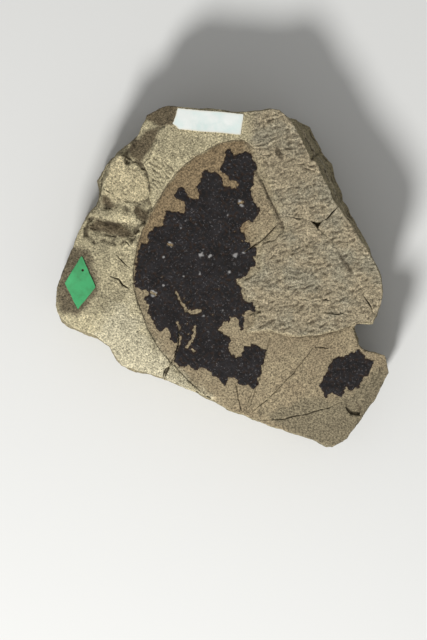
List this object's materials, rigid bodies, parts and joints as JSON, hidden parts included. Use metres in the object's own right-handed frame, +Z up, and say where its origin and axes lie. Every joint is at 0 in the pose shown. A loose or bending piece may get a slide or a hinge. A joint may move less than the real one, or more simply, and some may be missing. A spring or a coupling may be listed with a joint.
{
  "type": "fossil fig leaf",
  "caption": "Flat hand specimen of mudstone bearing the black carbonised remains of a fig leaf in its veined impression, with a green paper diamond and a white paper strip glued on.",
  "frame": {"origin": "middle of the slab's footprint, at the height of the surface it rests on", "axes": "+Z up out of the bedding plane that bears the leaf, +Y from the leaf's base towards its tip, +X to the right as the leaf is seen from above"},
  "size_m": [0.0952, 0.0974, 0.0265],
  "materials": {
    "mudstone": "matt fine-grained tan-grey mudstone, rough where it is broken",
    "carbon_film": "crumbly nearly black coalified leaf film, dull with small glints",
    "green_paper": "matt green gummed paper",
    "white_paper": "matt white gummed paper, stained in places"
  },
  "bodies": {
    "root": {"mudstone_slab": "mudstone", "leaf_carbon_film": "carbon_film", "leaf_carbon_scrap": "carbon_film", "green_paper_diamond": "green_paper", "white_paper_strip": "white_paper"}
  },
  "joints": []
}
